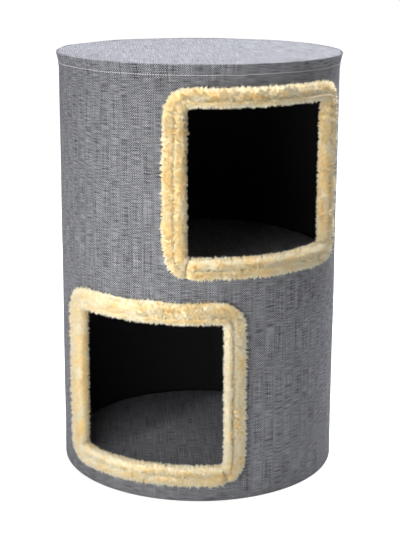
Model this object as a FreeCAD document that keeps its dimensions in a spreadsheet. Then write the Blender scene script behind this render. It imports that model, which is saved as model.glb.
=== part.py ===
"""Two-storey cat condo: a cloth-covered drum with two doors edged in plush.

A board tube stands on a round base. A shelf halfway up makes two rooms, and a padded top closes it.
Each room has a door cut through the tube's wall and a loose mat on its floor. A woven sleeve and a round
top panel, sewn together round the rim, cover the drum, and its turned-in hem is stapled under the base.

Lengths are in millimetres. +Z is up, the front faces -Y, and the origin is on the floor under the axis.
"""

import FreeCAD, Part

import math
import os

import Sketcher
from FreeCAD import Placement, Rotation, Vector

SIZES = (
    ("overall_height", 600),
    # The tube and the three boards that are stapled inside it.
    ("tube_diameter", 397),
    ("tube_wall", 4),
    ("base_board", 12),
    ("shelf_board", 12),
    ("top_board", 12),
    ("board_clearance", 0.3),
    # The cloths, and the slack that lies between one layer and the next.
    ("cover_cloth", 0.7),
    ("lining_cloth", 0.8),
    ("dust_cloth", 0.6),
    ("cloth_ease", 0.1),
    # The sleeve's hem under the base, and the dust cloth's edge inside the fold.
    ("hem_width", 24),
    ("dust_cloth_inset", 9),
    # The sewn rim: its band of turned-down cloth, which leans out, and the pad under the top panel.
    ("rim_band", 14),
    ("rim_flare", 1.5),
    ("rim_slope", 5),
    ("seam_tail", 2),
    ("top_foam", 5),
    # The doors: the width is measured along the tube's outside, and the swing from the front.
    ("door_width", 240),
    ("door_height", 216),
    ("door_corner", 10),
    ("door_swing", 25),
    # The plush binding: how far it reaches over the wall, how thick it stands and how round it is.
    ("plush_reach", 23),
    ("plush_back_reach", 15),
    ("plush_pile", 8),
    ("plush_back_pile", 6),
    ("plush_lip", 8.5),
    ("plush_face_corner", 30),
    ("plush_back_corner", 22),
    ("plush_mouth_corner", 5),
    ("plush_bevel", 5),
    ("plush_back_bevel", 3.5),
    # The row of stitches that draws the plush in along the middle of its face.
    ("stitch_offset", 10),
    ("stitch_groove", 2.4),
    ("stitch_depth", 3),
    ("stitch_corner", 16),
    # The loose mats.
    ("mat_foam", 8),
    ("mat_cloth", 0.7),
    ("mat_crown", 3),
    ("mat_clearance", 3),
    ("mat_rest_gap", 0.3),
    # The staples: through the wall into each board's edge, and through the hem into the base.
    ("staple_crown", 11),
    ("staple_wire", 0.6),
    ("staple_wire_width", 1.2),
    ("wall_staple_count", 10),
    ("wall_staple_leg", 16),
    ("hem_staple_count", 24),
    ("hem_staple_leg", 6),
    ("hem_staple_margin", 6),
)

FULL_TURN = 360

doc = FreeCAD.newDocument("cat_condo")
sizes = doc.addObject("Spreadsheet::Sheet", "sizes")
for row, (size_name, size_value) in enumerate(SIZES, 1):
    sizes.set(f"A{row}", size_name)
    sizes.set(f"B{row}", str(size_value))
    sizes.setAlias(f"B{row}", size_name)
doc.recompute()
places = doc.addObject("App::VarSet", "places")


def place(name, formula):
    """Names a radius, height or angle that follows from the sizes."""
    places.addProperty("App::PropertyFloat", name, "Places")
    places.setExpression(name, formula)


# Radii, from the tube's wall outwards and inwards.
place("tube_radius", "sizes.tube_diameter / 2")
place("tube_inside", "places.tube_radius - sizes.tube_wall")
place("board_radius", "places.tube_inside - sizes.board_clearance")
place("sleeve_inside", "places.tube_radius + sizes.cloth_ease")
place("sleeve_outside", "places.sleeve_inside + sizes.cover_cloth")
place("lining_outside", "places.tube_inside - sizes.cloth_ease")
place("lining_inside", "places.lining_outside - sizes.lining_cloth")

# Heights, from the floor up, and from the rim down.
place("hem_low", "sizes.dust_cloth")
place("base_low", "places.hem_low + sizes.cover_cloth")
place("base_high", "places.base_low + sizes.base_board")
place("rim_high", "sizes.overall_height")
place("foam_high", "places.rim_high - sizes.cover_cloth")
place("top_high", "places.foam_high - sizes.top_foam")
place("top_low", "places.top_high - sizes.top_board")
place("shelf_low", "(places.base_high + places.top_low - sizes.shelf_board) / 2")
place("shelf_high", "places.shelf_low + sizes.shelf_board")

# The staples.
place("base_mid", "places.base_low + sizes.base_board / 2")
place("shelf_mid", "places.shelf_low + sizes.shelf_board / 2")
place("top_mid", "places.top_low + sizes.top_board / 2")
place("staple_half", "sizes.staple_crown / 2")
place("staple_between", "places.staple_half - sizes.staple_wire")
place("wall_crown", "places.tube_radius - sizes.staple_wire")
place("wall_point", "places.tube_radius - sizes.wall_staple_leg")
place("hem_crown", "sizes.staple_wire")
place("hem_point", "sizes.hem_staple_leg")
place("hem_inside", "places.sleeve_outside - sizes.hem_width")
place("hem_staple_circle", "places.hem_inside + sizes.hem_staple_margin")

# The sewn rim, and the dust cloth's edge inside the hem's fold.
place("seam_low", "places.rim_high - sizes.rim_band - sizes.seam_tail")
place("slope_low", "places.seam_low - sizes.rim_slope")
place("skirt_outside_low", "places.sleeve_inside + sizes.cover_cloth")
place("skirt_outside_high", "places.skirt_outside_low + sizes.rim_flare")
place("skirt_inside_high", "places.sleeve_inside + sizes.rim_flare")
place("band_inside_low", "places.skirt_outside_low + sizes.cloth_ease")
place("band_inside_high", "places.band_inside_low + sizes.rim_flare")
place("band_middle_low", "places.band_inside_low + sizes.cover_cloth")
place("band_outside_low", "places.band_middle_low + sizes.cover_cloth")
place("band_outside_high", "places.band_outside_low + sizes.rim_flare")
place("dust_cloth_radius", "places.sleeve_outside - sizes.dust_cloth_inset")

# The plush that binds each door, and the cutters that reach clear of the wall or the plush.
place("plush_seat", "places.sleeve_outside + sizes.cloth_ease")
place("plush_outside", "places.plush_seat + sizes.plush_pile")
place("plush_back_seat", "places.lining_inside - sizes.cloth_ease")
place("plush_inside", "places.plush_back_seat - sizes.plush_back_pile")
place("cutter_inside", "places.lining_inside - sizes.tube_wall")
place("cutter_outside", "places.sleeve_outside + sizes.tube_wall")
place("mouth_inside", "places.plush_inside - sizes.tube_wall")
place("mouth_outside", "places.plush_outside + sizes.tube_wall")
place("groove_floor", "places.plush_outside - sizes.stitch_depth")

# The mats' outline.
place("mat_radius", "places.plush_inside - sizes.mat_clearance")
place("mat_edge", "sizes.mat_foam / 2 + sizes.mat_cloth")
place("mat_flat_radius", "places.mat_radius - places.mat_edge")
place("mat_foam_radius", "places.mat_radius - sizes.mat_cloth")
place("mat_crown_flat", "places.mat_flat_radius / 2")

# Each room: its floor and its ceiling, its mat, and its door in the middle of its height.
ROOMS = {"lower": ("base_high", "shelf_low"), "upper": ("shelf_high", "top_low")}
BLOCKS = {
    "door": "0",
    "plush_face": "sizes.plush_reach",
    "plush_back": "sizes.plush_back_reach",
    "plush_edge": "-sizes.cloth_ease",
    "plush_mouth": "-sizes.plush_lip",
    "groove_outside": "sizes.stitch_offset + sizes.stitch_groove / 2",
    "groove_inside": "sizes.stitch_offset - sizes.stitch_groove / 2",
}
for room, (floor, ceiling) in ROOMS.items():
    place(f"{room}_lining_high", f"places.{ceiling} - sizes.lining_cloth")
    place(f"{room}_mat_low", f"places.{floor} + sizes.mat_rest_gap")
    place(f"{room}_foam_low", f"places.{room}_mat_low + sizes.mat_cloth")
    place(f"{room}_mat_seam", f"places.{room}_mat_low + places.mat_edge")
    place(f"{room}_foam_high", f"places.{room}_foam_low + sizes.mat_foam")
    place(f"{room}_mat_high", f"places.{room}_foam_high + sizes.mat_cloth")
    place(f"{room}_foam_crown", f"places.{room}_foam_high + sizes.mat_crown")
    place(f"{room}_mat_crown", f"places.{room}_mat_high + sizes.mat_crown")
    place(f"{room}_sill", f"(places.{floor} + places.{ceiling} - sizes.door_height) / 2")
    place(f"{room}_head", f"places.{room}_sill + sizes.door_height")
    for block, grow in BLOCKS.items():
        place(f"{room}_{block}_low", f"places.{room}_sill - ({grow})")
        place(f"{room}_{block}_high", f"places.{room}_head + ({grow})")
# The turns are counted from +X, and the front lies three quarters of a turn round.
place("lower_turn", "270 - sizes.door_swing")
place("upper_turn", "270 + sizes.door_swing")
doc.recompute()


def origin_feature(body, role):
    return next(feature for feature in body.Origin.OriginFeatures if feature.Role == role)


def pin(sketch, axis, geometry, point, name):
    """Ties one coordinate of a profile's point to a place: "0" is on the axis, "-name" on its other side."""
    if name == "0":
        sketch.addConstraint(Sketcher.Constraint("PointOnObject", geometry, point, -2 if axis == "X" else -1))
        return
    origin, corner = (-1, 1), (geometry, point)
    ends = corner + origin if name.startswith("-") else origin + corner
    place_name = name.lstrip("-")
    distance = Sketcher.Constraint("Distance" + axis, *ends, getattr(places, place_name))
    index = sketch.addConstraint(distance)
    sketch.setExpression(f"Constraints[{index}]", f"places.{place_name}")


def read(name):
    if name == "0":
        return 0.0
    value = getattr(places, name.lstrip("-"))
    return -value if name.startswith("-") else value


def outline(body, corners, plane="XZ_Plane"):
    """A closed profile of straight sides, whose corners are pairs of place names."""
    sketch = body.newObject("Sketcher::SketchObject", body.Label + "_profile")
    sketch.AttachmentSupport = [(origin_feature(body, plane), "")]
    sketch.MapMode = "FlatFace"
    points = [Vector(read(across), read(up), 0) for across, up in corners]
    for start, end in zip(points, points[1:] + points[:1]):
        sketch.addGeometry(Part.LineSegment(start, end), False)
    for side, (across, up) in enumerate(corners):
        before = side - 1 if side else len(corners) - 1
        sketch.addConstraint(Sketcher.Constraint("Coincident", before, 2, side, 1))
        pin(sketch, "X", side, 1, across)
        pin(sketch, "Y", side, 1, up)
    return sketch


def new_body(label):
    body = doc.addObject("PartDesign::Body", label)
    body.AllowCompound = True
    return body


def revolution(body, profile):
    turn = body.newObject("PartDesign::Revolution", body.Label + "_turn")
    turn.Profile = profile
    turn.ReferenceAxis = (profile, ["V_Axis"])
    turn.Angle = FULL_TURN
    body.Tip = turn
    return turn


def turned(label, corners):
    """A round piece about the drum's axis; corners are (radius, height)."""
    body = new_body(label)
    revolution(body, outline(body, corners))
    return body


def disc(label, radius, low, high):
    return turned(label, (("0", low), (radius, low), (radius, high), ("0", high)))


def ring(label, inner, outer, low, high):
    return turned(label, ((inner, low), (outer, low), (outer, high), (inner, high)))


def door_block(door, block, inner, outer, corner):
    """A block through the wall at a door: radial sides, level ends, and an outline offset from the door's."""
    label = f"{door}_{block}"
    low, high = f"{label}_low", f"{label}_high"
    body = new_body(label + "_block")
    turn = revolution(body, outline(body, ((inner, low), (outer, low), (outer, high), (inner, high))))
    turn.Midplane = True
    turn.setExpression("Angle", f"(sizes.door_width + 2 * ({BLOCKS[block]})) / places.tube_radius * 180 / pi")
    doc.recompute()
    rounding = body.newObject("PartDesign::Fillet", label + "_corners")
    radial = [
        f"Edge{number}"
        for number, edge in enumerate(turn.Shape.Edges, 1)
        if isinstance(edge.Curve, Part.Line) and abs(edge.Vertexes[0].Z - edge.Vertexes[-1].Z) < 1e-6
    ]
    rounding.Base = (turn, radial)
    rounding.setExpression("Radius", f"sizes.{corner}")
    body.Tip = rounding
    body.Placement = Placement(Vector(), Rotation(Vector(0, 0, 1), read(f"{door}_turn")))
    body.setExpression("Placement.Rotation.Angle", f"places.{door}_turn")
    return body


def united(label, *pieces):
    together = doc.addObject("Part::MultiFuse", label)
    together.Shapes = list(pieces)
    return together


def cut(label, blank, *cutters):
    """The blank with the cutters' room taken out of it."""
    tool = cutters[0] if len(cutters) == 1 else united(label + "_cutters", *cutters)
    result = doc.addObject("Part::Cut", label)
    result.Base = blank
    result.Tool = tool
    doc.recompute()
    if not result.Shape.Volume < blank.Shape.Volume:
        raise RuntimeError(f"{label}: nothing was cut away")
    return result


# The staples come first, because each piece that they pass through is cut to fit them.
def ring_of_staples(label, plane, corners, level, count):
    """Wire staples spaced evenly round the drum: corners outline one seen flat, and level starts its width."""
    body = new_body(label)
    profile = outline(body, corners, plane)
    profile.setExpression("AttachmentOffset.Base.z", level)
    wire = body.newObject("PartDesign::Pad", label + "_wire")
    wire.Profile = profile
    wire.setExpression("Length", "sizes.staple_wire_width")
    copies = body.newObject("PartDesign::PolarPattern", label + "_round")
    copies.Originals = [wire]
    copies.Axis = (origin_feature(body, "Z_Axis"), [""])
    copies.Angle = FULL_TURN
    copies.setExpression("Occurrences", f"sizes.{count}")
    body.Tip = copies
    return body


def wall_staples(label, board_mid):
    """Driven from outside into a board's edge at mid-thickness, crowns level with the tube's face."""
    wire = (
        ("tube_radius", "-staple_half"),
        ("tube_radius", "staple_half"),
        ("wall_point", "staple_half"),
        ("wall_point", "staple_between"),
        ("wall_crown", "staple_between"),
        ("wall_crown", "-staple_between"),
        ("wall_point", "-staple_between"),
        ("wall_point", "-staple_half"),
    )
    level = f"places.{board_mid} - sizes.staple_wire_width / 2"
    return ring_of_staples(label, "XY_Plane", wire, level, "wall_staple_count")


def staples_under_base():
    """Driven up through the dust cloth and the hem, crowns level with the dust cloth's face."""
    wire = (
        ("-staple_half", "0"),
        ("staple_half", "0"),
        ("staple_half", "hem_point"),
        ("staple_between", "hem_point"),
        ("staple_between", "hem_crown"),
        ("-staple_between", "hem_crown"),
        ("-staple_between", "hem_point"),
        ("-staple_half", "hem_point"),
    )
    return ring_of_staples("hem_staples", "YZ_Plane", wire, "places.hem_staple_circle", "hem_staple_count")


base_staples = wall_staples("base_staples", "base_mid")
shelf_staples = wall_staples("shelf_staples", "shelf_mid")
top_staples = wall_staples("top_staples", "top_mid")
hem_staples = staples_under_base()

# The doors' cutters, which the wall, its lining and its cover share.
door_cutters = {
    door: door_block(door, "door", "cutter_inside", "cutter_outside", "door_corner") for door in ROOMS
}


# The frame: a tube of rolled board and three round boards stapled inside it.
def board(name, *fasteners):
    blank = disc(f"{name}_blank", "board_radius", f"{name}_low", f"{name}_high")
    return cut(f"{name}_board", blank, *fasteners)


def wall_tube():
    blank = ring("wall_blank", "tube_inside", "tube_radius", "base_low", "top_high")
    return cut("wall_tube", blank, *door_cutters.values(), base_staples, shelf_staples, top_staples)


# The lining: black cloth round the inside of each room and on its ceiling.
def room_lining(room):
    floor, ceiling = ROOMS[room]
    blank = ring(f"{room}_lining_blank", "lining_inside", "lining_outside", floor, f"{room}_lining_high")
    lining = cut(f"{room}_lining", blank, door_cutters[room])
    return [lining, disc(f"{room}_ceiling_cloth", "board_radius", f"{room}_lining_high", ceiling)]


# The cover: the sleeve, the top panel and its pad, and the dust cloth under the base.
def top_cover():
    """The round top panel: its edge turns down over the tube as the seam's inner layer."""
    corners = (
        ("0", "foam_high"),
        ("skirt_inside_high", "foam_high"),
        ("sleeve_inside", "seam_low"),
        ("skirt_outside_low", "seam_low"),
        ("skirt_outside_high", "rim_high"),
        ("0", "rim_high"),
    )
    return turned("top_cover", corners)


def side_cover():
    """The sleeve, one cloth thick down to its turned-in hem, and folded double in the rim's band."""
    corners = (
        ("hem_inside", "hem_low"),
        ("sleeve_outside", "hem_low"),
        ("sleeve_outside", "slope_low"),
        ("band_outside_low", "seam_low"),
        ("band_outside_high", "rim_high"),
        ("band_inside_high", "rim_high"),
        ("band_inside_low", "seam_low"),
        ("band_middle_low", "seam_low"),
        ("sleeve_inside", "slope_low"),
        ("sleeve_inside", "base_low"),
        ("hem_inside", "base_low"),
    )
    return cut("side_cover", turned("sleeve", corners), *door_cutters.values(), hem_staples)


def dust_cloth():
    return cut("dust_cloth", disc("dust_cloth_blank", "dust_cloth_radius", "0", "hem_low"), hem_staples)


# The plush that binds each door: a thick channel over the wall's cut edge, rounded like a roll.
def edges_at(shape, radius):
    """The numbers of the edges that lie on a cylinder of that radius about the drum's axis."""
    return [
        number
        for number, edge in enumerate(shape.Edges, 1)
        if all(abs(math.hypot(p.x, p.y) - radius) < 1e-3 for p in edge.discretize(5))
    ]


def door_trim(door):
    """Plush on the face, the back and the cut edge of the wall, drawn in by a row of stitches on its face."""
    face = door_block(door, "plush_face", "plush_seat", "plush_outside", "plush_face_corner")
    back = door_block(door, "plush_back", "plush_inside", "plush_back_seat", "plush_back_corner")
    edge = door_block(door, "plush_edge", "plush_inside", "plush_outside", "door_corner")
    mouth = door_block(door, "plush_mouth", "mouth_inside", "mouth_outside", "plush_mouth_corner")
    channel = cut(f"{door}_plush_channel", united(f"{door}_plush_layers", face, back, edge), mouth)
    bevelled = doc.addObject("Part::Chamfer", f"{door}_plush_bevelled")
    bevelled.Base = channel
    bevels = ((places.plush_outside, sizes.plush_bevel), (places.plush_inside, sizes.plush_back_bevel))
    bevelled.Edges = [
        (number, bevel, bevel) for radius, bevel in bevels for number in edges_at(channel.Shape, radius)
    ]
    outside = door_block(door, "groove_outside", "groove_floor", "mouth_outside", "stitch_corner")
    inside = door_block(door, "groove_inside", "cutter_inside", "mouth_outside", "stitch_corner")
    return cut(f"{door}_door_trim", bevelled, cut(f"{door}_stitch_groove", outside, inside))


# The mats: a foam disc between two cloths that are sewn together at mid-edge.
def mat(room):
    """The lower cloth is flat with a turned-up edge, and the upper one is crowned."""
    low, high, crown = f"{room}_mat_low", f"{room}_mat_high", f"{room}_mat_crown"
    foam_low, foam_high, foam_crown = f"{room}_foam_low", f"{room}_foam_high", f"{room}_foam_crown"
    seam = f"{room}_mat_seam"
    bottom_cloth = (
        ("0", low),
        ("mat_flat_radius", low),
        ("mat_radius", seam),
        ("mat_foam_radius", seam),
        ("mat_flat_radius", foam_low),
        ("0", foam_low),
    )
    foam = (
        ("0", foam_low),
        ("mat_flat_radius", foam_low),
        ("mat_foam_radius", seam),
        ("mat_flat_radius", foam_high),
        ("mat_crown_flat", foam_crown),
        ("0", foam_crown),
    )
    top_cloth = (
        ("0", foam_crown),
        ("mat_crown_flat", foam_crown),
        ("mat_flat_radius", foam_high),
        ("mat_foam_radius", seam),
        ("mat_radius", seam),
        ("mat_flat_radius", high),
        ("mat_crown_flat", crown),
        ("0", crown),
    )
    layers = (("bottom_cloth", bottom_cloth), ("foam", foam), ("top_cloth", top_cloth))
    return [turned(f"{room}_mat_{layer}", corners) for layer, corners in layers]


nodes = [
    board("base", base_staples, hem_staples),
    board("shelf", shelf_staples),
    board("top", top_staples),
    wall_tube(),
    base_staples,
    shelf_staples,
    top_staples,
    *room_lining("lower"),
    *room_lining("upper"),
    disc("top_foam", "tube_radius", "top_high", "foam_high"),
    top_cover(),
    side_cover(),
    dust_cloth(),
    hem_staples,
    *(door_trim(door) for door in ROOMS),
    *mat("lower"),
    *mat("upper"),
]
doc.recompute()

for item in doc.Objects:
    if {"Invalid", "Error"} & set(item.State):
        raise RuntimeError(f"{item.Label}: {item.State}")
for node in nodes:
    if node.Shape.isNull() or not node.Shape.isValid() or not node.Shape.Solids:
        raise RuntimeError(f"{node.Label}: its shape isn't valid")

os.makedirs("parts", exist_ok=True)
for node in nodes:
    node.Shape.exportStep(f"parts/{node.Label}.step")
    print(f"{node.Label}: {len(node.Shape.Solids)} solids, {node.Shape.Volume / 1000:.2f} cm3")
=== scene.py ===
"""Looks of an upright cloth-covered cat barrel: two rooms, two plush-edged doorways, two loose mats and a
padded top."""

import math

import bmesh
import bpy
import numpy as np
from mathutils import Matrix, Vector


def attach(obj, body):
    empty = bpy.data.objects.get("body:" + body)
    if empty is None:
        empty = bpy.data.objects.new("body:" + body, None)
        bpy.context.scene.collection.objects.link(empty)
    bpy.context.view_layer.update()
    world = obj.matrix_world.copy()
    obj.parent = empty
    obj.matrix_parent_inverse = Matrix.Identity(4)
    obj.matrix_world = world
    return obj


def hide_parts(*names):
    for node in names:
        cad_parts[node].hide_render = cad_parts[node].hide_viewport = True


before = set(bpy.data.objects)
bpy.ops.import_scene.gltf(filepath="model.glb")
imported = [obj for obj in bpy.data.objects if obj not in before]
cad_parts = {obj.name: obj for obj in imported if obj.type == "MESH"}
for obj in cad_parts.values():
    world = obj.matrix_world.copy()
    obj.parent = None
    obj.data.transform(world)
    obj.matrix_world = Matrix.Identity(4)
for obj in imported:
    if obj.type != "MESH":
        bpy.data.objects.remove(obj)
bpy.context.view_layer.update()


# The base, the shelf and the top are discs of raw particle board, sawn round. The tube stands on the
# base's edge and the shelf and the top sit inside it.


def add_node(tree, kind, wires=None, **settings):
    """One shader node. Settings go on the node, and wires go to its sockets, as a value or as another
    node's output."""
    node = tree.nodes.new("ShaderNode" + kind)
    for name, value in settings.items():
        setattr(node, name, value)
    for socket, value in (wires or {}).items():
        if isinstance(value, bpy.types.NodeSocket):
            tree.links.new(value, node.inputs[socket])
        else:
            node.inputs[socket].default_value = value
    return node


def calc(tree, operation, *values):
    """One sum on numbers or outputs, such as MULTIPLY or SINE."""
    return add_node(tree, "Math", dict(enumerate(values)), operation=operation).outputs[0]


def stretch(tree, place, by):
    """A place with each axis multiplied by its own number."""
    return add_node(tree, "VectorMath", {0: place, 1: by}, operation="MULTIPLY").outputs[0]


def grain(tree, place, scale=1.0, detail=2.0, kind="3D"):
    """Smooth noise from 0 to 1, one patch to 1/scale of the place's unit."""
    wires = {"Vector": place, "Scale": scale, "Detail": detail}
    return add_node(tree, "TexNoise", wires, noise_dimensions=kind).outputs["Fac"]


def between(tree, value, low, high, to_low=0.0, to_high=1.0):
    """A value spread from low..high to to_low..to_high and held at the ends."""
    wires = {"Value": value, "From Min": low, "From Max": high, "To Min": to_low, "To Max": to_high}
    return add_node(tree, "MapRange", wires).outputs["Result"]


def tint(tree, amount, first, second, how="MIX"):
    """Two colours mixed by an amount from 0 to 1."""
    wires = {0: amount, 6: first, 7: second}
    return add_node(tree, "Mix", wires, data_type="RGBA", blend_type=how).outputs[2]


def colour(red, green, blue):
    """A colour with full cover."""
    return (red, green, blue, 1.0)


def finish_named(name, roughness, **constants):
    """A new material with its plain shader, whose constants are set on the shader's own sockets."""
    material = bpy.data.materials.new(name)
    material.use_nodes = True
    shader = material.node_tree.nodes["Principled BSDF"]
    shader.inputs["Roughness"].default_value = roughness
    for socket, value in constants.items():
        shader.inputs[socket.replace("_", " ")].default_value = value
    return material, material.node_tree, shader


def bumped(tree, shader, height, strength, depth):
    """Sends a height from 0 to 1 to the shader's normal, as relief of that depth in metres."""
    wires = {"Strength": strength, "Distance": depth, "Height": height}
    tree.links.new(add_node(tree, "Bump", wires).outputs["Normal"], shader.inputs["Normal"])


def dressed(name, material):
    """A CAD node keeps its own mesh and gets this finish."""
    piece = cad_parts[name]
    piece.data.materials.clear()
    piece.data.materials.append(material)
    return piece


particle_board, tree, shader = finish_named("raw_particle_board", 0.85, Specular_IOR_Level=0.25)
place = add_node(tree, "TexCoord").outputs["Object"]
chips = add_node(tree, "TexVoronoi", {"Vector": stretch(tree, place, (1.0, 1.0, 3.0)), "Scale": 330.0})
chip_tone = add_node(tree, "SeparateColor", {"Color": chips.outputs["Color"]}).outputs[0]
patches = grain(tree, place, 22.0, 3.0)
pressed = tint(tree, chip_tone, colour(0.42, 0.31, 0.2), colour(0.74, 0.62, 0.46))
pressed = tint(tree, between(tree, patches, 0.35, 0.7, 0.0, 0.35), pressed, colour(0.5, 0.4, 0.29))
tree.links.new(pressed, shader.inputs["Base Color"])
bumped(tree, shader, chips.outputs["Distance"], 0.5, 0.0006)
for board in ("base_board", "shelf_board", "top_board"):
    dressed(board, particle_board)


# The wall is a stiff tube of grey-brown board, wound from one wide strip on the slant, so that its butt
# joint climbs round it. Both doorways are sawn out of it.

rolled_board, tree, shader = finish_named("wound_tube_board", 0.8, Specular_IOR_Level=0.25)
place = add_node(tree, "TexCoord").outputs["Object"]
split = add_node(tree, "SeparateXYZ", {"Vector": place})
turn = calc(tree, "ARCTAN2", split.outputs["Y"], split.outputs["X"])
strip_width = 0.16
turns_up = calc(tree, "DIVIDE", split.outputs["Z"], strip_width)
climb = calc(tree, "FRACT", calc(tree, "ADD", turns_up, calc(tree, "DIVIDE", turn, math.tau)))
joint = between(tree, calc(tree, "ABSOLUTE", calc(tree, "SUBTRACT", climb, 0.5)), 0.0, 0.006)
fibres = grain(tree, stretch(tree, place, (1.0, 1.0, 0.12)), 420.0, 3.0)
clouds = grain(tree, place, 14.0, 2.0)
board_colour = tint(tree, fibres, colour(0.36, 0.28, 0.2), colour(0.62, 0.5, 0.38))
board_colour = tint(tree, between(tree, clouds, 0.3, 0.7, 0.0, 0.4), board_colour, colour(0.44, 0.38, 0.32))
board_colour = tint(tree, joint, colour(0.14, 0.1, 0.07), board_colour)
tree.links.new(board_colour, shader.inputs["Base Color"])
bumped(tree, shader, calc(tree, "MULTIPLY", joint, between(tree, fibres, 0.2, 0.8, 0.6, 1.0)), 0.4, 0.0004)
dressed("wall_tube", rolled_board)


# Staples of zinc-plated wire hold the tube to its boards, and smaller ones hold the cover's hem under the
# base.

zinc_wire, tree, shader = finish_named("zinc_plated_wire", 0.35, Metallic=1.0)
place = add_node(tree, "TexCoord").outputs["Object"]
bloom = grain(tree, place, 900.0, 3.0)
zinc_colour = tint(tree, bloom, colour(0.48, 0.49, 0.5), colour(0.72, 0.72, 0.7))
tree.links.new(zinc_colour, shader.inputs["Base Color"])
tree.links.new(between(tree, bloom, 0.3, 0.7, 0.28, 0.5), shader.inputs["Roughness"])
bumped(tree, shader, bloom, 0.15, 0.0001)
for staples in ("base_staples", "shelf_staples", "top_staples", "hem_staples"):
    dressed(staples, zinc_wire)


# Each room is lined with black felted cloth glued round the wall, butted at the back, with a disc of the
# same cloth under the board above. The doorways are cut out of it with the wall.


def waves(angle, other, seed, most_turns=9, count=14):
    """A sum of cosines, each a whole number of turns round the angle plus its own lean along the other
    measure, scaled to about -1..1."""
    pick = np.random.default_rng(seed)
    turns = pick.integers(1, most_turns + 1, count)
    leans = pick.normal(0.0, 1.0, count)
    starts = pick.uniform(0.0, math.tau, count)
    total = np.zeros(np.broadcast(angle, other).shape)
    for turn_count, lean, start in zip(turns, leans, starts):
        total += np.cos(turn_count * angle + lean * other + start)
    return total / (2.2 * math.sqrt(count / 2))


def cloth_grid(name, points, flat, round_columns=False, round_rows=False, keep=None):
    """A piece over a rows x columns array of points, each face joining a point to its neighbours at the
    next column and row. Flat is each point's place on the flat cloth in metres, with one more column or
    row where it closes."""
    rows, columns = points.shape[:2]
    i, j = np.meshgrid(
        np.arange(rows if round_rows else rows - 1),
        np.arange(columns if round_columns else columns - 1),
        indexing="ij",
    )
    i, j = (i.ravel(), j.ravel()) if keep is None else (i[keep], j[keep])
    corners = [(i, j), (i, j + 1), (i + 1, j + 1), (i + 1, j)]
    faces = np.stack([(a % rows) * columns + b % columns for a, b in corners], 1)
    used, faces = np.unique(faces, return_inverse=True)
    mesh = bpy.data.meshes.new(name)
    mesh.from_pydata(points.reshape(-1, 3)[used].tolist(), [], faces.reshape(-1, 4).tolist())
    layer = mesh.uv_layers.new(name="flat_cloth")
    places = np.stack([flat[a, b] for a, b in corners], 1)
    layer.uv.foreach_set("vector", places.astype(np.float32).ravel())
    welded = bmesh.new()
    welded.from_mesh(mesh)
    bmesh.ops.remove_doubles(welded, verts=welded.verts, dist=1e-6)
    welded.to_mesh(mesh)
    welded.free()
    mesh.shade_smooth()
    piece = bpy.data.objects.new(name, mesh)
    bpy.context.scene.collection.objects.link(piece)
    return piece


def round_the_axis(radius, angle, height):
    """Points at a radius from the barrel's axis, turned by an angle from the front towards +X, at a
    height."""
    radius, angle, height = np.broadcast_arrays(radius, angle, height)
    return np.stack([radius * np.sin(angle), -radius * np.cos(angle), height], -1)


def thickened(piece, thickness):
    """The cloth's own thickness, laid behind the surface that was modelled."""
    layer = piece.modifiers.new("cloth_thickness", "SOLIDIFY")
    layer.thickness = thickness
    layer.offset = -1.0
    return piece


def disc_of_cloth(name, radius, height, thickness, seed, swell=0.0004, rows=24, columns=120):
    """A round of cloth facing down: rows of growing radius about the axis, with shallow waves in
    height."""
    angle = np.linspace(0.0, math.tau, columns, endpoint=False)
    out = np.linspace(0.0, 1.0, rows)[:, None]
    lift = swell * (1.0 + waves(angle, out * 9.0, seed)) * out * (1.0 - out**6)
    points = round_the_axis(radius * out, angle, height + lift)
    turned = np.linspace(0.0, math.tau, columns + 1)
    flat = round_the_axis(radius * out, turned, 0.0)[..., :2]
    return thickened(cloth_grid(name, points, flat, round_columns=True), thickness)


felted_cloth, tree, shader = finish_named("black_felted_cloth", 0.95, Specular_IOR_Level=0.15)
place = add_node(tree, "TexCoord").outputs["Object"]
felt = grain(tree, place, 700.0, 4.0)
lint = between(tree, grain(tree, place, 160.0, 5.0), 0.62, 0.75)
felt_colour = tint(tree, felt, colour(0.012, 0.012, 0.0125), colour(0.034, 0.034, 0.035))
felt_colour = tint(tree, calc(tree, "MULTIPLY", lint, 0.25), felt_colour, colour(0.05, 0.05, 0.05))
tree.links.new(felt_colour, shader.inputs["Base Color"])
bumped(tree, shader, felt, 0.6, 0.0005)

door_half_width = 0.120
door_half_height = 0.108
cut_radius = 0.1985
doors = {
    "lower": (math.radians(-25.0), 0.15255),
    "upper": (math.radians(25.0), 0.44305),
}
rooms = {"lower": (0.0135, 0.2909), "upper": (0.3040, 0.5814)}


def clear_of_doors(angle, height, names, spare):
    """True where a point round the wall is outside those doorways, each grown by the spare."""
    clear = np.ones(np.broadcast(angle, height).shape, bool)
    for name in names:
        turned, middle = doors[name]
        across = np.abs(np.angle(np.exp(1j * (angle - turned)))) * cut_radius
        clear &= (across > door_half_width + spare) | (np.abs(height - middle) > door_half_height + spare)
    return clear


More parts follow.
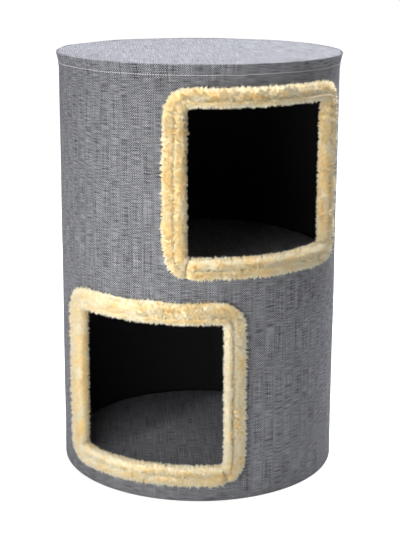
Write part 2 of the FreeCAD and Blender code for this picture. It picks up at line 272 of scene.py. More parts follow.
for side, (low, high) in rooms.items():
    angle = np.linspace(math.pi, math.pi + math.tau, 240, endpoint=False)
    height = np.linspace(low, high, 32)[:, None]
    away = clear_of_doors(angle, height, [side], 0.03)
    slack = 0.0006 * (1.0 + waves(angle, height * 30.0, 11 if side == "lower" else 12)) * away
    points = round_the_axis(0.1943 - slack, angle, height)
    cells = angle[None] + math.pi / 240, (height[:-1] + height[1:]) / 2
    flat_angle = np.linspace(0.0, math.tau, 241)
    flat = np.stack(np.broadcast_arrays(flat_angle * 0.194, height), -1)
    lining = cloth_grid(
        f"{side}_room_lining", points, flat, round_columns=True, keep=clear_of_doors(*cells, [side], 0.004)
    )
    thickened(lining, 0.0008)
    lining.data.materials.append(felted_cloth)
    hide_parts(f"{side}_lining")
    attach(lining, "drum")
    seed = 21 if side == "lower" else 22
    ceiling = disc_of_cloth(f"{side}_room_ceiling", 0.1932, high + 0.0001, 0.0007, seed)
    ceiling.data.materials.append(felted_cloth)
    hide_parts(f"{side}_ceiling_cloth")
    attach(ceiling, "drum")


# The top is a round of the cover cloth over thin foam. Its edge turns down inside the side cover, and the
# two are sewn together round the rim. The cloth is a grey melange weave with thicker slubs in both
# directions.

weave = bpy.data.node_groups.new("plain_weave", "ShaderNodeTree")
weave.interface.new_socket("Flat place", in_out="INPUT", socket_type="NodeSocketVector")
weave.interface.new_socket("Threads per metre", in_out="INPUT", socket_type="NodeSocketFloat")
weave.interface.new_socket("Relief", in_out="OUTPUT", socket_type="NodeSocketFloat")
weave.interface.new_socket("Warp over", in_out="OUTPUT", socket_type="NodeSocketFloat")
weave.interface.new_socket("Tone", in_out="OUTPUT", socket_type="NodeSocketFloat")
inlet = weave.nodes.new("NodeGroupInput")
outlet = weave.nodes.new("NodeGroupOutput")
wander = grain(weave, stretch(weave, inlet.outputs[0], (90.0, 90.0, 0.0)), 1.0, 1.0, "2D")
wander = calc(weave, "MULTIPLY", calc(weave, "SUBTRACT", wander, 0.5), 1.6)
counted = add_node(weave, "VectorMath", {0: inlet.outputs[0], "Scale": inlet.outputs[1]}, operation="SCALE")
split = add_node(weave, "SeparateXYZ", {"Vector": counted.outputs[0]})
warp_place = calc(weave, "ADD", split.outputs["X"], wander)
warp_wave = calc(weave, "SINE", calc(weave, "MULTIPLY", warp_place, math.pi))
weft_place = calc(weave, "ADD", split.outputs["Y"], wander)
weft_wave = calc(weave, "SINE", calc(weave, "MULTIPLY", weft_place, math.pi))
warp_over = calc(weave, "GREATER_THAN", calc(weave, "MULTIPLY", warp_wave, weft_wave), 0.0)
warp_round = calc(weave, "ABSOLUTE", warp_wave)
weft_round = calc(weave, "ABSOLUTE", weft_wave)
warp_height = calc(weave, "MULTIPLY", warp_round, calc(weave, "MULTIPLY_ADD", weft_round, 0.5, 0.5))
weft_height = calc(weave, "MULTIPLY", weft_round, calc(weave, "MULTIPLY_ADD", warp_round, 0.5, 0.5))
relief = calc(
    weave,
    "ADD",
    calc(weave, "MULTIPLY", warp_height, warp_over),
    calc(weave, "MULTIPLY", weft_height, calc(weave, "SUBTRACT", 1.0, warp_over)),
)
warp_slub = grain(weave, stretch(weave, inlet.outputs[0], (900.0, 16.0, 0.0)), 1.0, 1.0, "2D")
weft_slub = grain(weave, stretch(weave, inlet.outputs[0], (60.0, 900.0, 0.0)), 1.0, 1.0, "2D")
warp_tone = between(weave, warp_slub, 0.24, 0.76)
weft_tone = between(weave, weft_slub, 0.24, 0.76)
clouds = between(weave, grain(weave, inlet.outputs[0], 30.0, 2.0, "2D"), 0.3, 0.7, -0.03, 0.03)
share = calc(weave, "MULTIPLY_ADD", warp_over, 0.3, 0.35)
tone = calc(
    weave,
    "ADD",
    calc(weave, "MULTIPLY", warp_tone, share),
    calc(weave, "MULTIPLY", weft_tone, calc(weave, "SUBTRACT", 1.0, share)),
)
weave.links.new(relief, outlet.inputs[0])
weave.links.new(warp_over, outlet.inputs[1])
weave.links.new(calc(weave, "ADD", tone, clouds), outlet.inputs[2])


def woven_finish(name, warp, weft, contrast):
    """A weave of 650 threads to the metre on the flat cloth's own places: warp and weft yarns of two
    greys, each lighter and darker along its slubs by the contrast, with painted shade darkening the low
    places between the yarns."""
    material, tree, shader = finish_named(
        name,
        0.85,
        Specular_IOR_Level=0.2,
        Sheen_Weight=0.1,
        Sheen_Roughness=0.4,
        Sheen_Tint=colour(0.9, 0.9, 1.0),
    )
    flat_place = add_node(tree, "UVMap", uv_map="flat_cloth").outputs["UV"]
    woven = add_node(tree, "Group", node_tree=weave)
    tree.links.new(flat_place, woven.inputs["Flat place"])
    woven.inputs["Threads per metre"].default_value = 650.0
    yarn = tint(tree, woven.outputs["Warp over"], colour(*weft), colour(*warp))
    # Painted shade: the yarns are darkened where the weave's relief is low, between them.
    painted_gap_shade = between(tree, woven.outputs["Relief"], 0.0, 0.8, 0.6, 1.0)
    slubs = between(tree, woven.outputs["Tone"], 0.0, 1.0, 1.0 - contrast, 1.0 + contrast)
    depth = calc(tree, "MULTIPLY", painted_gap_shade, slubs)
    shaded = add_node(tree, "VectorMath", {0: yarn, "Scale": depth}, operation="SCALE").outputs[0]
    tree.links.new(shaded, shader.inputs["Base Color"])
    bumped(tree, shader, woven.outputs["Relief"], 0.6, 0.0005)
    return material


def reach_from_middle(profile):
    """The cloth's length along a section of radius and height, from the middle of its upper face to each
    row."""
    steps = np.diff(profile[::-1], axis=0, prepend=[[0.0, profile[-1, 1]]])
    return np.cumsum(np.hypot(*steps.T))[::-1]


# The cover's copy of this cloth is darker than the mats' copy only to suit the light: painted shade on the
# outside of the barrel, which the lamps light more.
cover_linen_painted_darker = woven_finish("grey_melange_weave_painted_darker", (0.052, 0.054, 0.059), (0.28, 0.282, 0.297), 1.0)

angle = np.linspace(0.0, math.tau, 240, endpoint=False)
profile = np.array(
    [
        (0.0, 0.5944),
        (0.060, 0.5944),
        (0.130, 0.5944),
        (0.1975, 0.5944),
        (0.1986, 0.5925),
        (0.1986, 0.5845),
        (0.1992, 0.5842),
        (0.1993, 0.5880),
        (0.1998, 0.5940),
        (0.2005, 0.5972),
        (0.2006, 0.5992),
        (0.1999, 0.6002),
        (0.1980, 0.6003),
        (0.1940, 0.6003),
        (0.1870, 0.6005),
        (0.1760, 0.6008),
        (0.1600, 0.6011),
        (0.1400, 0.6014),
        (0.1150, 0.6016),
        (0.0850, 0.6018),
        (0.0550, 0.6019),
        (0.0280, 0.6020),
        (0.0, 0.6020),
    ]
)
out, up = profile[:, :1], profile[:, 1:]
on_top = (up > 0.5985) & (out > 0.0)
puckers = np.exp(-(((out - 0.188) / 0.008) ** 2)) * waves(angle, out * 0.0, 31, 46, 30)
hollows = 0.0006 * waves(angle, out * 40.0, 32, 7) * np.minimum(out / 0.06, 1.0)
ripple = on_top * (hollows + 0.0006 * puckers)
points = round_the_axis(out, angle, up + ripple)
turned = np.linspace(0.0, math.tau, 241)
flat = round_the_axis(reach_from_middle(profile)[:, None], turned, 0.0)[..., :2]
top_pad = cloth_grid("top_pad", points, flat, round_columns=True)
top_pad.data.materials.append(cover_linen_painted_darker)
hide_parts("top_cover", "top_foam")
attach(top_pad, "drum")


# The side cover is one length of the same cloth sewn into a sleeve, with its seam at the back. It is
# pulled down over the barrel and turned under the base. Its upper edge is doubled round the rim and
# topstitched.

evenly = np.linspace(0.0, math.tau, 301)[:-1]
at_seam = math.pi + np.linspace(-0.03, 0.03, 13)
angle = np.unique(np.concatenate([evenly, at_seam]))
profile = np.array(
    [
        (0.1755, 0.00075),
        (0.1850, 0.00070),
        (0.1920, 0.00065),
        (0.1968, 0.00065),
        (0.1984, 0.00090),
        (0.1991, 0.00170),
        (0.1993, 0.00300),
        *[(0.1993, z) for z in np.arange(0.008, 0.576, 0.006)],
        (0.1993, 0.5770),
        (0.1994, 0.5795),
        (0.1998, 0.5818),
        (0.2001, 0.5834),
        (0.2001, 0.5846),
        (0.1998, 0.5856),
        (0.1998, 0.5864),
        (0.2002, 0.5876),
        (0.2007, 0.5895),
        (0.2013, 0.5920),
        (0.2019, 0.5945),
        (0.2025, 0.5966),
        (0.2029, 0.5980),
        (0.2031, 0.5992),
        (0.2029, 0.6001),
        (0.2022, 0.6005),
        (0.2013, 0.6004),
        (0.2008, 0.5996),
        (0.2007, 0.5984),
        (0.2007, 0.5960),
        (0.2005, 0.5900),
    ]
)
out, up = profile[:, :1], profile[:, 1:]
under = np.clip((0.1975 - out) / 0.02, 0.0, 1.0) * (up < 0.001)
rim = np.clip((up - 0.588) / 0.010, 0.0, 1.0)
wall = np.clip(up / 0.03, 0.0, 1.0) * np.clip((0.585 - up) / 0.02, 0.0, 1.0)
sleeve_radius = 0.1993
behind = np.angle(np.exp(1j * (angle - math.pi))) * sleeve_radius
seam = wall * (0.0006 * np.exp(-((behind / 0.006) ** 4)) - 0.0011 * np.exp(-((behind / 0.0012) ** 2)))
slack = 0.00035 * waves(angle, up * 25.0, 41, 11) * wall
flare = rim * (0.0004 * waves(angle, up * 0.0, 42, 17) + 0.0002 * waves(angle, up * 0.0, 43, 60, 30))
gathers = under * 0.00025 * waves(angle, out * 0.0, 44, 90, 40)
lip = rim * 0.0004 * waves(angle, up * 0.0, 45, 14)
points = round_the_axis(out + seam + slack + flare, angle, up + gathers + lip)
along = np.concatenate([[0.0], np.cumsum(np.hypot(*np.diff(profile, axis=0).T))])[:, None] - 0.024
flat = np.stack(np.broadcast_arrays(np.append(angle, math.tau) * sleeve_radius, along), -1)
middle_angle = (angle + np.append(angle[1:], math.tau)) / 2
middle_height = (up[:-1] + up[1:]) / 2
whole = clear_of_doors(middle_angle, middle_height, doors, 0.005)
side_sleeve = cloth_grid("side_sleeve", points, flat, round_columns=True, keep=whole)
thickened(side_sleeve, 0.0006)
side_sleeve.data.materials.append(cover_linen_painted_darker)
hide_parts("side_cover")
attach(side_sleeve, "drum")

thread, tree, shader = finish_named("grey_sewing_thread", 0.6, Specular_IOR_Level=0.3, Sheen_Weight=0.2)
place = add_node(tree, "TexCoord").outputs["Object"]
twist = grain(tree, place, 2600.0, 2.0)
thread_colour = tint(tree, twist, colour(0.5, 0.5, 0.53), colour(0.78, 0.78, 0.82))
tree.links.new(thread_colour, shader.inputs["Base Color"])
bumped(tree, shader, twist, 0.5, 0.0001)


def stitches(name, middles, along, outward, length, width, height):
    """Closed spindles, one to a stitch: rings of six points about its own line, narrow at both ends where
    the thread dives into the cloth."""
    rings = np.array([-1.0, -0.8, -0.35, 0.35, 0.8, 1.0])
    fat = np.array([0.12, 0.7, 1.0, 1.0, 0.7, 0.12])
    sink = np.array([-0.5, -0.1, 0.2, 0.2, -0.1, -0.5])
    spin = np.arange(6) * math.tau / 6
    across = np.cross(outward, along)
    rise = fat[:, None] * np.sin(spin) * height / 2 + sink[:, None] * height
    points = (
        middles[:, None, None]
        + along[:, None, None] * (rings * length / 2)[None, :, None, None]
        + across[:, None, None] * (fat[:, None] * np.cos(spin) * width / 2)[None, :, :, None]
        + outward[:, None, None] * rise[None, :, :, None]
    )
    count = len(middles)
    base = (np.arange(count) * 36)[:, None, None]
    ring, step = np.meshgrid(np.arange(5), np.arange(6), indexing="ij")
    here, there = ring * 6 + step, ring * 6 + (step + 1) % 6
    sides = np.stack([here, there, there + 6, here + 6], -1).reshape(1, -1, 4) + base
    caps = np.stack([np.arange(6)[::-1], 30 + np.arange(6)])[None] + base
    mesh = bpy.data.meshes.new(name)
    faces = sides.reshape(-1, 4).tolist() + caps.reshape(-1, 6).tolist()
    mesh.from_pydata(points.reshape(-1, 3).tolist(), [], faces)
    mesh.shade_smooth()
    piece = bpy.data.objects.new(name, mesh)
    bpy.context.scene.collection.objects.link(piece)
    piece.data.materials.append(thread)
    return piece


stitch_count = 360
angle = np.arange(stitch_count) * math.tau / stitch_count
pick = np.random.default_rng(46)
outward = round_the_axis(1.0, angle, 0.0)
along = round_the_axis(1.0, angle + math.pi / 2, pick.normal(0.0, 0.03, stitch_count))
wandering = 0.0004 * waves(angle, angle * 0.0, 47, 25)
stitch_height = 0.5860 + wandering + pick.normal(0.0, 0.00012, stitch_count)
middles = round_the_axis(0.1999, angle, stitch_height)
rim_topstitch = stitches("rim_topstitch", middles, along, outward, 0.0027, 0.0008, 0.0006)
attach(rim_topstitch, "drum")


# A round of black non-woven cloth hides the stapled hem under the base, so that it doesn't scratch the
# floor.

dust_finish, tree, shader = finish_named("black_non_woven_cloth", 0.9, Specular_IOR_Level=0.2)
place = add_node(tree, "TexCoord").outputs["Object"]
fibre = grain(tree, place, 520.0, 5.0)
dimple = add_node(tree, "TexVoronoi", {"Vector": place, "Scale": 420.0}).outputs["Distance"]
fibre_colour = tint(tree, fibre, colour(0.008, 0.008, 0.008), colour(0.045, 0.045, 0.047))
tree.links.new(fibre_colour, shader.inputs["Base Color"])
bumped(tree, shader, calc(tree, "ADD", calc(tree, "MULTIPLY", fibre, 0.5), dimple), 0.5, 0.0003)
base_cloth = disc_of_cloth("base_cloth", 0.1903, 0.0, 0.0005, 51, swell=0.00004, rows=16)
base_cloth.data.materials.append(dust_finish)
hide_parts("dust_cloth")
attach(base_cloth, "drum")


# Each doorway is bound with a padded strip of golden plush, wrapped over the raw edge from the outside to
# the inside and sewn through along one line, so that its face is two soft rolls. Its ends meet at one
# lower corner.


def round_the_door(corner=0.010, straight=(44, 50)):
    """The doorway's edge, flat and counter-clockwise from the front: each of its four sides runs from the
    middle of one rounded corner to the middle of the next. Gives places, outward directions and the
    side's number."""
    places, outwards, sides = [], [], []
    frames = [((0, 1), (1, 0)), ((-1, 0), (0, 1)), ((0, -1), (-1, 0)), ((1, 0), (0, -1))]
    for number, (run, outward) in enumerate(frames):
        half_run, half_out = (
            (door_half_height, door_half_width) if number % 2 == 0 else (door_half_width, door_half_height)
        )
        steps = straight[number % 2]
        into_side = np.linspace(-math.pi / 4, 0.0, 7)[:-1]
        out_of_side = np.linspace(0.0, math.pi / 4, 7)[1:-1]
        lean = np.concatenate([into_side, np.zeros(steps), out_of_side])
        slide = np.linspace(corner - half_run, half_run - corner, steps)
        slide = np.concatenate([np.full(6, slide[0]), slide, np.full(5, slide[-1])])
        run, outward = np.array(run, float), np.array(outward, float)
        direction = np.cos(lean)[:, None] * outward + np.sin(lean)[:, None] * run
        places.append(slide[:, None] * run + (half_out - corner) * outward + corner * direction)
        outwards.append(direction)
        sides.append(np.full(len(lean), number))
    return np.concatenate(places), np.concatenate(outwards), np.concatenate(sides)


strip_profile = np.array(
    [
        (22.3, 199.40),
        (22.6, 200.20),
        (21.8, 201.30),
        (20.0, 202.20),
        (17.6, 202.80),
        (14.6, 203.10),
        (11.6, 202.70),
        (9.2, 201.60),
        (7.6, 200.10),
        (6.2, 201.60),
        (4.6, 202.70),
        (2.8, 203.30),
        (1.0, 203.40),
        (-0.6, 202.90),
        (-1.8, 201.90),
        (-2.9, 200.10),
        (-3.2, 198.00),
        (-3.2, 195.60),
        (-2.9, 193.30),
        (-1.9, 191.70),
        (0.2, 190.85),
        (3.2, 190.60),
        (6.6, 190.75),
        (9.8, 191.20),
        (12.2, 192.00),
        (13.6, 193.00),
        (13.6, 193.50),
        (8.0, 193.50),
        (0.2, 193.50),
        (0.0, 194.30),
        (0.0, 198.60),
        (0.3, 199.36),
        (11.0, 199.38),
    ]
) / 1000
skin_points = 27
stitch_row, mouth_row, back_row = 8, 14, 16
edge, outward, side_number = round_the_door()
along_strip_middle = edge + 0.006 * outward
steps = np.diff(along_strip_middle, axis=0, append=along_strip_middle[:1])
walked = np.concatenate([[0.0], np.cumsum(np.linalg.norm(steps, axis=1))])
lap = walked[-1]
turn = walked[:-1] / lap * math.tau

# Where the strip's outer edge, stitch line and mouth edge lie on each side, in mm from the doorway's cut
# edge, in the order right jamb, head, left jamb and sill.
lie_of_strip = {
    "lower": ((20.5, 22.0, 15.5, 19.0), (3.0, 2.2, 5.0, 7.0), (-3.0, -2.8, -8.5, -3.2)),
    "upper": ((15.5, 17.6, 22.4, 16.4), (1.0, 1.6, 8.0, 6.0), (-8.5, -2.4, -4.0, -6.0)),
}
corner_turns = turn[np.flatnonzero(np.diff(side_number, prepend=side_number[-1]))]


def eased(per_side):
    """One number for each of the doorway's four sides, blended round the corners over 25 mm of the
    edge."""
    steps = np.array(per_side)[side_number]
    gap = np.abs(np.angle(np.exp(1j * (turn[:, None] - turn[None])))) * lap / math.tau
    share = np.exp(-((gap / 0.025) ** 2))
    return (share @ steps) / share.sum(1)


def strip_surface(side, joint_turn, seed):
    """The strip's skin: its section carried round the doorway's edge, bent to the wall's curve, pinched
    where its two ends meet, and a little uneven in width and fullness."""
    turned, middle = doors[side]
    across, radius = strip_profile[:, :1], strip_profile[:, 1:]
    middle_of_wall, inside_of_wall = 0.1965, 0.1935
    full = np.clip((np.abs(radius - middle_of_wall) - 0.0030) / 0.004, 0.0, 1.0)
    uneven = waves(turn, across * 60.0, seed, 13)
    wide = waves(turn, across * 0.0, seed + 1, 17)
    pinch = np.exp(-((np.angle(np.exp(1j * (turn - joint_turn))) * lap / math.tau / 0.0026) ** 2))
    radius = radius + full * np.sign(radius - middle_of_wall) * (0.0006 * uneven - 0.0040 * pinch)
    across = across + 0.0007 * wide * (radius > inside_of_wall) * (np.abs(across) > 0.001)
    outer_edge, stitch_line, mouth_edge = [eased(row) / 1000 for row in lie_of_strip[side]]
    to_corner = np.abs(np.angle(np.exp(1j * (turn[:, None] - corner_turns[None])))).min(1) * lap / math.tau
    rounded_off = np.exp(-((to_corner / 0.014) ** 2))
    outer_edge = outer_edge - 0.0030 * rounded_off
    mouth_edge = mouth_edge - 0.0020 * rounded_off
    stitch_at, to_outer_edge, to_mouth_edge = 0.0076, 0.0147, 0.0108
    outer_lie = stitch_line + (across - stitch_at) * (outer_edge - stitch_line) / to_outer_edge
    mouth_lie = stitch_line + (across - stitch_at) * (stitch_line - mouth_edge) / to_mouth_edge
    face_lie = np.where(across > stitch_at, outer_lie, mouth_lie)
    on_face = np.clip((radius - inside_of_wall) / 0.004, 0.0, 1.0)
    back_shift = np.minimum(mouth_edge + 0.0032, 0.0) * (across < 0.004)
    skin_row = (np.arange(len(strip_profile)) < skin_points)[:, None]
    across = across + skin_row * (on_face * (face_lie - across) + (1.0 - on_face) * back_shift)
    flat = edge[None] + across[..., None] * outward[None]
    return round_the_axis(radius, turned + flat[..., 0] / cut_radius, middle + flat[..., 1]), pinch


plush, tree, shader = finish_named(
    "golden_plush",
    0.9,
    Specular_IOR_Level=0.1,
    Sheen_Weight=1.0,
    Sheen_Roughness=0.5,
    Sheen_Tint=colour(1.0, 0.93, 0.75),
)
tip = add_node(tree, "Attribute", attribute_name="tip").outputs["Fac"]
lock = add_node(tree, "Attribute", attribute_name="lock").outputs["Fac"]
length_ramp = add_node(tree, "ValToRGB", {"Fac": tip})
length_ramp.color_ramp.elements[0].color = colour(0.95, 0.74, 0.37)
length_ramp.color_ramp.elements[1].color = colour(0.99, 0.92, 0.7)
length_ramp.color_ramp.elements.new(0.45).color = colour(0.97, 0.82, 0.47)
# The lock attribute turns the pile from gold to pale cream. Beside the pile's own patches and pale tips it
# carries painted light: paler where it stands in for a highlight or for more light, more golden where it
# stands in for shade.
golden_and_painted_shade = between(tree, lock, 0.0, 0.9, 0.85, 0.0)
pile_colour = tint(tree, golden_and_painted_shade, length_ramp.outputs["Color"], colour(0.97, 0.67, 0.27))
pale_and_painted_light = between(tree, lock, 0.6, 1.0, 0.0, 0.45)
pile_colour = tint(tree, pale_and_painted_light, pile_colour, colour(1.0, 0.94, 0.78))
tree.links.new(pile_colour, shader.inputs["Base Color"])

plush_back, tree, shader = finish_named("plush_backing", 0.95, Specular_IOR_Level=0.1)
place = add_node(tree, "TexCoord").outputs["Object"]
rows_of_pile = grain(tree, place, 500.0, 3.0)
backing_colour = tint(tree, rows_of_pile, colour(0.8, 0.58, 0.26), colour(0.94, 0.74, 0.4))
tree.links.new(backing_colour, shader.inputs["Base Color"])
bumped(tree, shader, rows_of_pile, 0.7, 0.0008)


def pile(name, skin, pinch, columns, count, seed, cream_and_painted_light):
    """Plush pile on part of the skin. Roots are spread evenly by area. Each hair is a closed three-sided
    spike from its root along the skin's normal, brushed by slow waves along the strip, and drawn a little
    towards the middle of the nearest lock, one lock to 2.8 mm. Its attribute lock is how pale it is: the
    value given for its side, which is partly painted light, plus patches, plus paler hair at both edges and
    on either side of the stitch line, which is partly the pale tips that show there and partly painted
    highlight. Its shading normals mix the skin's normal with its own way, so that the pile shades as one
    soft surface."""
    pick = np.random.default_rng(seed)
    rows = np.arange(skin_points - 1)
    i, j = np.meshgrid(rows, columns, indexing="ij")
    i, j = i.ravel(), j.ravel()
    k = (j + 1) % skin.shape[1]
    a, b, c, d = skin[i, j], skin[i, k], skin[i + 1, k], skin[i + 1, j]
    size = np.linalg.norm(np.cross(b - a, d - a), axis=1) + np.linalg.norm(np.cross(b - c, d - c), axis=1)
    cell = pick.choice(len(size), count, p=size / size.sum())
    s, t = pick.uniform(size=(2, count, 1))
    a, b, c, d = a[cell], b[cell], c[cell], d[cell]
    root = (a * (1 - s) + b * s) * (1 - t) + (d * (1 - s) + c * s) * t
    normal = np.cross(b - a + c - d, d - a + c - b)
    normal /= np.linalg.norm(normal, axis=1, keepdims=True)
    along = (b - a) / np.maximum(np.linalg.norm(b - a, axis=1, keepdims=True), 1e-9)
    across = np.cross(normal, along)

    section = np.concatenate([[0.0], np.cumsum(np.hypot(*np.diff(strip_profile[:skin_points], axis=0).T))])
    down_strip = section[i[cell]] + t[:, 0] * np.diff(section)[i[cell]]
    along_strip = walked[j[cell]] + s[:, 0] * np.diff(walked)[j[cell]]
    lock_size = 0.0028
    grid = np.stack([along_strip, down_strip], 1) / lock_size
    home = np.floor(grid).astype(int)
    locks_along, locks_down = 400, 40
    table = pick.uniform(size=(locks_along, locks_down, 6))
    best = np.full(count, 9.0)
    pull = np.zeros((count, 2))
    mood = np.zeros((count, 4))
    for step_along in (-1, 0, 1):
        for step_down in (-1, 0, 1):
            cell_at = home + (step_along, step_down)
            facts = table[cell_at[:, 0] % locks_along, cell_at[:, 1] % locks_down]
            offset = cell_at + 0.15 + 0.7 * facts[:, :2] - grid
            distance = np.hypot(*offset.T)
            nearer = distance < best
            best[nearer] = distance[nearer]
            pull[nearer] = offset[nearer] * lock_size
            mood[nearer] = facts[nearer, 2:]

    past_stitches = down_strip - section[stitch_row]
    crease = np.exp(-((past_stitches / 0.0016) ** 2))
    ends = np.clip(np.minimum(down_strip, section[-1] - down_strip) / 0.004, 0.0, 1.0)
    behind = np.clip((down_strip - section[back_row]) / 0.008, 0.0, 1.0)
    at_joint = pinch[j[cell]]
    length = 0.0060 * (1 - 0.25 * behind) * (1 - 0.65 * crease) * (0.7 + 0.3 * ends) * (1 - 0.7 * at_joint)
    length = length * (0.7 + 0.5 * mood[:, 0]) * pick.uniform(0.7, 1.2, count)
    round_angle = along_strip / lap * math.tau
    brushed = waves(round_angle, down_strip * 260.0, seed + 50, 24, 30)[:, None]
    fanned = waves(round_angle, down_strip * 200.0, seed + 51, 30, 30)[:, None]
    from_crease = np.tanh(past_stitches / 0.004)[:, None] * np.exp(-((past_stitches / 0.007) ** 2))[:, None]
    lean_along = along * (0.45 * brushed + 1.5 * (mood[:, 1:2] - 0.5))
    lean_across = across * (0.25 * fanned + 1.3 * (mood[:, 2:3] - 0.5))
    stray = pick.normal(0.0, 0.17, (count, 3))
    droop = np.array([0.0, 0.0, -0.12])
    way = normal + (lean_along + lean_across) + 0.5 * across * from_crease + stray + droop
    way /= np.linalg.norm(way, axis=1, keepdims=True)
    drawn = along * pull[:, :1] + across * pull[:, 1:]
    end = root + way * length[:, None] + 0.6 * drawn
    # The pile is painted paler at its outer and mouth edges and beside the stitch line: partly the pale
    # hair tips that show there, partly painted highlight on the edges of the rolls.
    outer_fringe = np.exp(-((down_strip / 0.0045) ** 2))
    mouth_fringe = np.exp(-(((down_strip - section[mouth_row]) / 0.003) ** 2))
    edge_tips_and_highlight = outer_fringe + 0.6 * mouth_fringe
    shoulder_tips_and_highlight = np.exp(-(((np.abs(past_stitches) - 0.003) / 0.0025) ** 2))
    patches = waves(round_angle, down_strip * 330.0, seed + 52, 30, 40)
    creamy_and_painted_light = cream_and_painted_light + 0.55 * patches + 0.75 * (mood[:, 3] - 0.5)
    creamy_and_painted_light = creamy_and_painted_light + 0.6 * edge_tips_and_highlight + 0.25 * shoulder_tips_and_highlight
    creamy_and_painted_light = np.clip(creamy_and_painted_light + pick.normal(0.0, 0.2, count), 0.0, 1.0)
    axis = (end - root) / np.linalg.norm(end - root, axis=1, keepdims=True)
    first = np.cross(axis, along)
    first /= np.linalg.norm(first, axis=1, keepdims=True)
    second = np.cross(axis, first)
    spin = pick.uniform(0.0, math.tau, count)[:, None] + np.arange(3) * math.tau / 3
    width = pick.uniform(0.00030, 0.00044, (count, 1, 1))
    spread = np.cos(spin)[..., None] * first[:, None] + np.sin(spin)[..., None] * second[:, None]
    foot = (root - axis * 0.0004)[:, None] + width * spread
    points = np.concatenate([foot, end[:, None]], 1)
    base = (np.arange(count) * 4)[:, None, None]
    faces = (np.array([[0, 1, 3], [1, 2, 3], [2, 0, 3], [2, 1, 0]])[None] + base).reshape(-1, 3)
    mesh = bpy.data.meshes.new(name)
    mesh.from_pydata(points.reshape(-1, 3).tolist(), [], faces.tolist())
    tips = mesh.attributes.new("tip", "FLOAT", "POINT")
    tips.data.foreach_set("value", np.tile([0.0, 0.0, 0.0, 1.0], count).astype(np.float32))
    locks = mesh.attributes.new("lock", "FLOAT", "POINT")
    locks.data.foreach_set("value", np.repeat(creamy_and_painted_light, 4).astype(np.float32))
    mesh.materials.append(plush)
    mesh.shade_smooth()
    shaded = 0.3 * normal + 0.85 * way
    facing = np.concatenate([shaded[:, None] + 0.5 * spread, shaded[:, None]], 1).reshape(-1, 3)
    facing /= np.linalg.norm(facing, axis=1, keepdims=True)
    mesh.normals_split_custom_set_from_vertices(facing.tolist())
    piece = bpy.data.objects.new(name, mesh)
    bpy.context.scene.collection.objects.link(piece)
    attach(piece, "drum")
    return piece


side_words = ["right_jamb", "head", "left_jamb", "sill"]
# The strip's two ends meet on the sill, at its right corner on the lower doorway and its left corner on
# the upper.
sill_columns = np.flatnonzero(side_number == 3)
joint_columns = {"lower": int(sill_columns[-4]), "upper": int(sill_columns[5])}
hairs = 42000
# How pale the pile is on each side of the doorway, from 0 to 1, in the order of the words above. It is
# partly the pile's own colour and partly painted light: painted paler on the lower doorway's right jamb,
# where the lamps give less light, and darker gold on the upper doorway's left jamb, where they give more.
paleness_and_painted_light = {"lower": (0.92, 0.5, 0.35, 0.6), "upper": (0.34, 0.5, 0.18, 0.58)}
for side, seed in (("lower", 61), ("upper", 71)):
    skin, pinch = strip_surface(side, turn[joint_columns[side]], seed)
    flat = np.stack(np.broadcast_arrays(walked, np.arange(len(strip_profile) + 1)[:, None] * 0.002), -1)
    binding = cloth_grid(f"{side}_door_binding", skin, flat, round_columns=True, round_rows=True)
    binding.data.materials.append(plush_back)
    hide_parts(f"{side}_door_trim")
    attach(binding, "drum")
    for number, word in enumerate(side_words):
        columns = np.flatnonzero(side_number == number)
        pile(f"{side}_pile_{word}", skin, pinch, columns, hairs, seed + 2 + number, paleness_and_painted_light[side][number])


# Each room has a loose round mat of thin foam, with the cover cloth on top and a plain non-woven cloth
# below, sewn together round the edge. It lies on the board and lifts out through the doorway.

# Painted light: the mats' copy of the cover cloth is lighter than the cover's own, only to suit the dimmer
# light inside the rooms.
mat_linen_painted_lighter = woven_finish("grey_mat_weave_painted_lighter", (0.09, 0.09, 0.1), (0.42, 0.42, 0.455), 0.9)
mat_under, tree, shader = finish_named("grey_non_woven_cloth", 0.9, Specular_IOR_Level=0.2)
place = add_node(tree, "TexCoord").outputs["Object"]
fibre = grain(tree, place, 520.0, 5.0)
fibre_colour = tint(tree, fibre, colour(0.09, 0.09, 0.092), colour(0.17, 0.17, 0.175))
tree.links.new(fibre_colour, shader.inputs["Base Color"])
bumped(tree, shader, fibre, 0.5, 0.0003)
angle = np.linspace(0.0, math.tau, 200, endpoint=False)
mat_profile = np.array(
    [
        (0.0, 0.8),
        (60.0, 0.8),
        (120.0, 0.8),
        (170.0, 0.8),
        (180.0, 0.9),
        (182.6, 2.0),
        (183.2, 3.6),
        (183.6, 4.4),
        (184.5, 4.7),
        (184.4, 5.1),
        (183.5, 5.4),
        (183.3, 6.2),
        (182.4, 7.9),
        (180.6, 9.0),
        (177.0, 9.6),
        (170.0, 10.2),
        (158.0, 10.9),
        (142.0, 11.5),
        (122.0, 12.0),
        (98.0, 12.3),
        (72.0, 12.5),
        (46.0, 12.6),
        (22.0, 12.6),
        (0.0, 12.6),
    ]
) / 1000
out, up = mat_profile[:, :1], mat_profile[:, 1:]
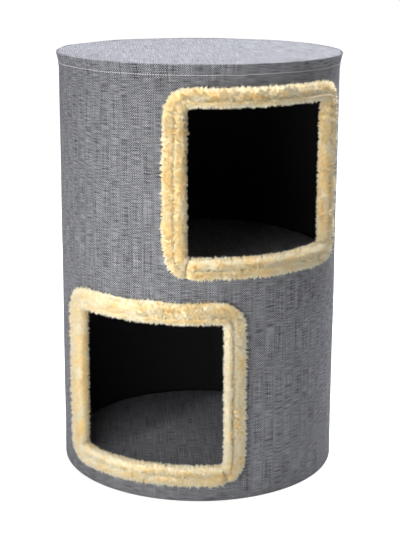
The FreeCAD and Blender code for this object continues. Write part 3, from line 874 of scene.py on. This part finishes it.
for side, floor_height, seed in (("lower", 0.0133, 81), ("upper", 0.3038, 91)):
    on_top = (up > 0.0075) & (out > 0.0)
    hollows = 0.0007 * waves(angle, out * 30.0, seed, 5) * np.minimum(out / 0.05, 1.0)
    puckers = 0.0005 * np.exp(-(((out - 0.179) / 0.006) ** 2)) * waves(angle, out * 0.0, seed + 1, 60, 40)
    points = round_the_axis(out, angle, floor_height + up + on_top * (hollows + puckers))
    turned = np.linspace(0.0, math.tau, 201)
    flat = round_the_axis(reach_from_middle(mat_profile)[:, None], turned, 0.0)[..., :2]
    cushion = cloth_grid(f"{side}_mat_cushion", points, flat, round_columns=True)
    cushion.data.materials.append(mat_linen_painted_lighter)
    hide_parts(f"{side}_mat_top_cloth", f"{side}_mat_foam")
    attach(cushion, f"{side}_mat")
    under = disc_of_cloth(
        f"{side}_mat_underside", 0.1815, floor_height + 0.0003, 0.0004, seed + 2, swell=0.00003, rows=12
    )
    under.data.materials.append(mat_under)
    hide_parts(f"{side}_mat_bottom_cloth")
    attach(under, f"{side}_mat")
    board = "base_board" if side == "lower" else "shelf_board"


# The barrel stands on a pale floor between soft boxes at the front left, the left, the right, the back
# and above. The floor and the sky are white to the camera and dimmer to the lamps, and the floor is
# shaded near the barrel.


def seen_directly(tree):
    """1 for rays from the camera and their mirrored or refracted ones, and 0 for rays that only carry
    light."""
    rays = add_node(tree, "LightPath")
    seen = calc(tree, "MAXIMUM", rays.outputs["Is Camera Ray"], rays.outputs["Is Glossy Ray"])
    return calc(tree, "MAXIMUM", seen, rays.outputs["Is Transmission Ray"])


floor_mesh = bpy.data.meshes.new("floor")
floor_mesh.from_pydata([(-9, -9, 0), (9, -9, 0), (9, 9, 0), (-9, 9, 0)], [], [(0, 1, 2, 3)])
floor = bpy.data.objects.new("floor", floor_mesh)
bpy.context.scene.collection.objects.link(floor)
pale, tree, shader = finish_named(
    "pale_floor", 0.9, Specular_IOR_Level=0.1, Base_Color=colour(0.55, 0.55, 0.55)
)
seen = seen_directly(tree)
place = add_node(tree, "TexCoord").outputs["Object"]
from_barrel = add_node(tree, "VectorMath", {0: place}, operation="LENGTH").outputs["Value"]
whiteness = between(tree, from_barrel, 0.22, 0.7, 0.72, 1.0)
shader.inputs["Emission Color"].default_value = colour(1.0, 1.0, 1.0)
tree.links.new(calc(tree, "MULTIPLY", seen, whiteness), shader.inputs["Emission Strength"])
floor_mesh.materials.append(pale)

world = bpy.data.worlds.new("studio")
bpy.context.scene.world = world
world.use_nodes = True
tree = world.node_tree
brightness = between(tree, seen_directly(tree), 0.0, 1.0, 0.05, 1.0)
tree.links.new(brightness, tree.nodes["Background"].inputs["Strength"])
tree.nodes["Background"].inputs["Color"].default_value = colour(1.0, 1.0, 1.0)


def lamp(name, place, towards, across, tall, watts, tone=(1.0, 1.0, 1.0)):
    """A soft box that faces a point."""
    light = bpy.data.lights.new(name, "AREA")
    light.shape = "RECTANGLE"
    light.size, light.size_y, light.energy, light.color = across, tall, watts, tone
    box = bpy.data.objects.new(name, light)
    bpy.context.scene.collection.objects.link(box)
    box.location = place
    box.visible_camera = False
    box.rotation_euler = (Vector(towards) - Vector(place)).to_track_quat("-Z", "Y").to_euler()


lamp("front_box", (-0.236, -0.463, 0.36), (0.0, 0.0, 0.34), 0.2, 0.62, 1.55)
lamp("left_box", (-1.286, -1.532, 0.66), (0.0, 0.0, 0.33), 0.3, 0.4, 17.0)
lamp("right_box", (1.813, -0.845, 0.20), (0.0, 0.0, 0.2), 0.5, 0.4, 6.5)
lamp("back_box", (0.845, 1.813, 0.60), (0.0, 0.0, 0.33), 0.8, 0.8, 18.0)
lamp("top_box", (0.14, 0.0, 2.4), (0.0, 0.0, 0.6), 1.0, 1.0, 124.0, (0.97, 0.98, 1.03))

camera = bpy.data.objects.new("camera", bpy.data.cameras.new("camera"))
bpy.context.scene.collection.objects.link(camera)
bpy.context.scene.camera = camera
camera.data.sensor_width = 36.0
camera.data.lens = 87.22
camera.data.shift_y = -0.0872
camera.data.clip_end = 50.0
away, eye_height = 1.844, 0.769
pitch, yaw, roll = math.radians(12.739), math.radians(0.059), math.radians(0.272)
azimuth = math.radians(-2.75)
forward = Vector((math.sin(yaw) * math.cos(pitch), math.cos(yaw) * math.cos(pitch), -math.sin(pitch)))
right = Vector((math.cos(yaw), -math.sin(yaw), 0.0))
upward = right.cross(forward)
tilted_right = math.cos(roll) * right + math.sin(roll) * upward
tilted_up = math.cos(roll) * upward - math.sin(roll) * right
facing = Matrix((tilted_right, tilted_up, -forward)).transposed().to_4x4()
standing = Matrix.Rotation(azimuth, 4, "Z") @ Matrix.Translation((0.0, -away, eye_height))
camera.matrix_world = standing @ facing
bpy.context.scene.view_settings.view_transform = "Standard"
